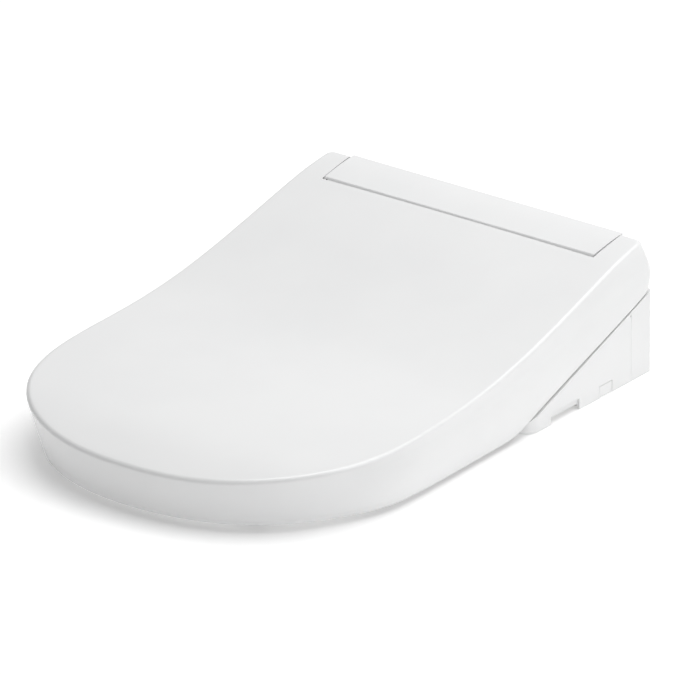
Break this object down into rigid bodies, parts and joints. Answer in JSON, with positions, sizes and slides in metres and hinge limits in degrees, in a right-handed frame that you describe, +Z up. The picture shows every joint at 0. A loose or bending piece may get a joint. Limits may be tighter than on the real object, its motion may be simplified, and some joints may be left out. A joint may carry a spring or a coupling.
{
  "type": "electric bidet seat",
  "caption": "Low washing toilet seat: glossy D-shaped lid over a heated ring, hinged on a flat rear body with a washing nozzle, clipped to the bowl.",
  "frame": {"origin": "midway between the two bowl bolts, on the rim plane that the base plate rests on", "axes": "+Y to the rear (hinge side), +Z up, +X to the right seen from the front"},
  "size_m": [0.383, 0.5395, 0.1241],
  "materials": {
    "gloss_white": "high gloss moulded plastic",
    "inner_white": "gloss moulded plastic",
    "light_plastic": "satin moulded plastic",
    "dark_plastic": "matt moulded plastic",
    "steel": "brushed",
    "plated_brass": "plated",
    "blue_plastic": "satin",
    "ceramic": "matt",
    "hose": "smooth",
    "circuit_board": "lacquered",
    "heater_foil": "foil",
    "grey_rubber": "matt"
  },
  "bodies": {
    "root": {"side_cover_right": "gloss_white", "side_cover_left": "gloss_white", "rear_cover": "gloss_white", "top_panel": "gloss_white", "top_cover": "inner_white", "front_fascia": "inner_white", "base_plate": "light_plastic", "base_chassis": "light_plastic", "nozzle_cradle": "light_plastic", "flow_valve": "light_plastic", "solenoid_valve": "light_plastic", "seat_damper": "dark_plastic", "lid_damper": "dark_plastic", "nozzle_motor": "dark_plastic", "fan_housing": "dark_plastic", "fan_motor": "dark_plastic", "filter_cartridge": "dark_plastic", "cord_gland": "dark_plastic", "water_pump": "dark_plastic", "sensor_window": "dark_plastic", "case_screws": "steel", "water_inlet": "plated_brass", "inlet_strainer": "blue_plastic", "water_heater": "ceramic", "water_hoses": "hose", "control_board": "circuit_board", "power_board": "circuit_board"},
    "nozzle": {"nozzle_wand": "steel", "nozzle_rack": "light_plastic", "nozzle_tip": "light_plastic", "nozzle_shutter": "inner_white"},
    "nozzle_pinion": {"nozzle_pinion": "light_plastic"},
    "fan_impeller": {"fan_impeller": "blue_plastic"},
    "release_button": {"release_button": "gloss_white"},
    "aux_button_front": {"aux_button_front": "light_plastic"},
    "aux_button_rear": {"aux_button_rear": "light_plastic"},
    "seat": {"seat_ring_top": "inner_white", "seat_ring_bottom": "inner_white", "seat_heater": "heater_foil", "seat_arms": "inner_white", "seat_bumpers": "grey_rubber", "seat_hinge_shaft": "steel"},
    "lid": {"lid_shell": "gloss_white", "lid_liner": "inner_white", "lid_bumpers": "grey_rubber", "lid_hinge_lugs": "inner_white", "lid_hinge_shaft": "steel"}
  },
  "joints": [
    {"name": "seat_hinge", "type": "hinge", "parent": "root", "child": "seat", "pos_m": [0, 0.045, 0.1], "axis": [1, 0, 0], "range_deg": [-95, 0]},
    {"name": "lid_hinge", "type": "hinge", "parent": "seat", "child": "lid", "pos_m": [0, 0.045, 0.1], "axis": [-1, 0, 0], "range_deg": [0, 100]},
    {"name": "nozzle_slide", "type": "slide", "parent": "root", "child": "nozzle", "axis": [0, -0.9816, -0.1908], "range_m": [0, 0.08]},
    {"name": "pinion_spin", "type": "hinge", "parent": "root", "child": "nozzle_pinion", "pos_m": [0, -0.0777, 0.04556], "axis": [-1, 0, 0], "range_deg": [0, 660]},
    {"name": "fan_spin", "type": "hinge", "parent": "root", "child": "fan_impeller", "pos_m": [-0.108, -0.055, 0.02], "axis": [0, 0, 1], "continuous": true},
    {"name": "release_press", "type": "slide", "parent": "root", "child": "release_button", "axis": [-1, 0, 0], "range_m": [0, 0.003], "stiffness_N_per_m": 800},
    {"name": "aux_front_press", "type": "slide", "parent": "root", "child": "aux_button_front", "axis": [1, 0, 0], "range_m": [0, 0.0012], "stiffness_N_per_m": 600},
    {"name": "aux_rear_press", "type": "slide", "parent": "root", "child": "aux_button_rear", "axis": [1, 0, 0], "range_m": [0, 0.0012], "stiffness_N_per_m": 600}
  ],
  "couplings": [
    {"joint": "pinion_spin", "follows": "nozzle_slide", "rad_per_m": 142.86}
  ]
}
